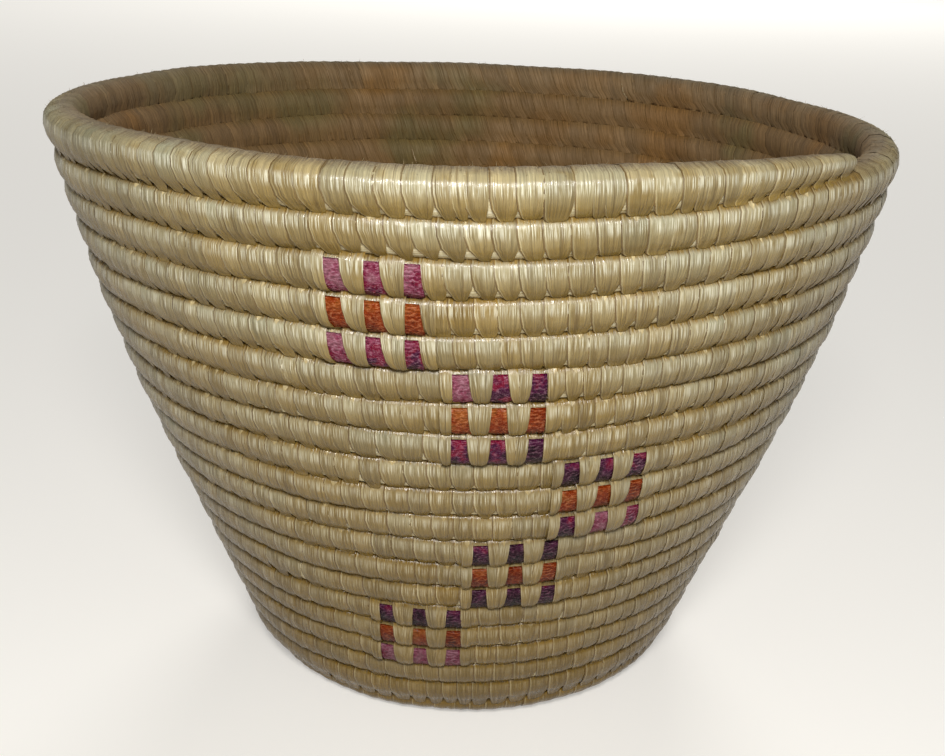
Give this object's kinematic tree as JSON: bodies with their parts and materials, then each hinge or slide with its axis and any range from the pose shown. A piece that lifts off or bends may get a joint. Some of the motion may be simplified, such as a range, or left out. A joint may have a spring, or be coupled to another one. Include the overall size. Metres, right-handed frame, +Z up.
{
  "type": "grass basket",
  "caption": "Open coiled basket of dried grass on a flat base, its wall flaring out from the foot to a wide rim, with short strips of dyed gut in blocks on the front.",
  "frame": {"origin": "centre of the basket's footprint, on the surface that it stands on", "axes": "+Z up through the open mouth; the coloured figure faces -Y; +X to the right of it"},
  "size_m": [0.2081, 0.209, 0.1476],
  "materials": {
    "grass_wall": "dried beach grass, wrapped and stitched, satin",
    "grass_base": "dried beach grass, wrapped and stitched, duller underneath",
    "grass_stitch": "split grass strand, satin",
    "gut_purple": "dyed gut, wrinkled, semi-gloss",
    "gut_orange": "dyed gut, wrinkled, semi-gloss"
  },
  "bodies": {
    "root": {"base_coil": "grass_base", "wall_coil": "grass_wall", "gut_strip_a1": "gut_purple", "strip_stitch_a1_left": "grass_stitch", "strip_stitch_a1_right": "grass_stitch", "gut_strip_a2": "gut_orange", "strip_stitch_a2_left": "grass_stitch", "strip_stitch_a2_right": "grass_stitch", "gut_strip_a3": "gut_purple", "strip_stitch_a3_left": "grass_stitch", "strip_stitch_a3_right": "grass_stitch", "gut_strip_b1": "gut_purple", "strip_stitch_b1_left": "grass_stitch", "strip_stitch_b1_right": "grass_stitch", "gut_strip_b2": "gut_orange", "strip_stitch_b2_left": "grass_stitch", "strip_stitch_b2_right": "grass_stitch", "gut_strip_b3": "gut_purple", "strip_stitch_b3_left": "grass_stitch", "strip_stitch_b3_right": "grass_stitch", "gut_strip_c1": "gut_purple", "strip_stitch_c1_left": "grass_stitch", "strip_stitch_c1_right": "grass_stitch", "gut_strip_c2": "gut_orange", "strip_stitch_c2_left": "grass_stitch", "strip_stitch_c2_right": "grass_stitch", "gut_strip_c3": "gut_purple", "strip_stitch_c3_left": "grass_stitch", "strip_stitch_c3_right": "grass_stitch", "gut_strip_d1": "gut_purple", "strip_stitch_d1_left": "grass_stitch", "strip_stitch_d1_right": "grass_stitch", "gut_strip_d2": "gut_orange", "strip_stitch_d2_left": "grass_stitch", "strip_stitch_d2_right": "grass_stitch", "gut_strip_d3": "gut_purple", "strip_stitch_d3_left": "grass_stitch", "strip_stitch_d3_right": "grass_stitch", "gut_strip_e1": "gut_purple", "strip_stitch_e1_left": "grass_stitch", "strip_stitch_e1_right": "grass_stitch", "gut_strip_e2": "gut_orange", "strip_stitch_e2_left": "grass_stitch", "strip_stitch_e2_right": "grass_stitch", "gut_strip_e3": "gut_purple", "strip_stitch_e3_left": "grass_stitch", "strip_stitch_e3_right": "grass_stitch", "tail_stitch_1": "grass_stitch", "tail_stitch_2": "grass_stitch", "tail_stitch_3": "grass_stitch", "tail_stitch_4": "grass_stitch", "tail_stitch_5": "grass_stitch", "tail_stitch_6": "grass_stitch", "tail_stitch_7": "grass_stitch", "tail_stitch_8": "grass_stitch"}
  },
  "joints": []
}
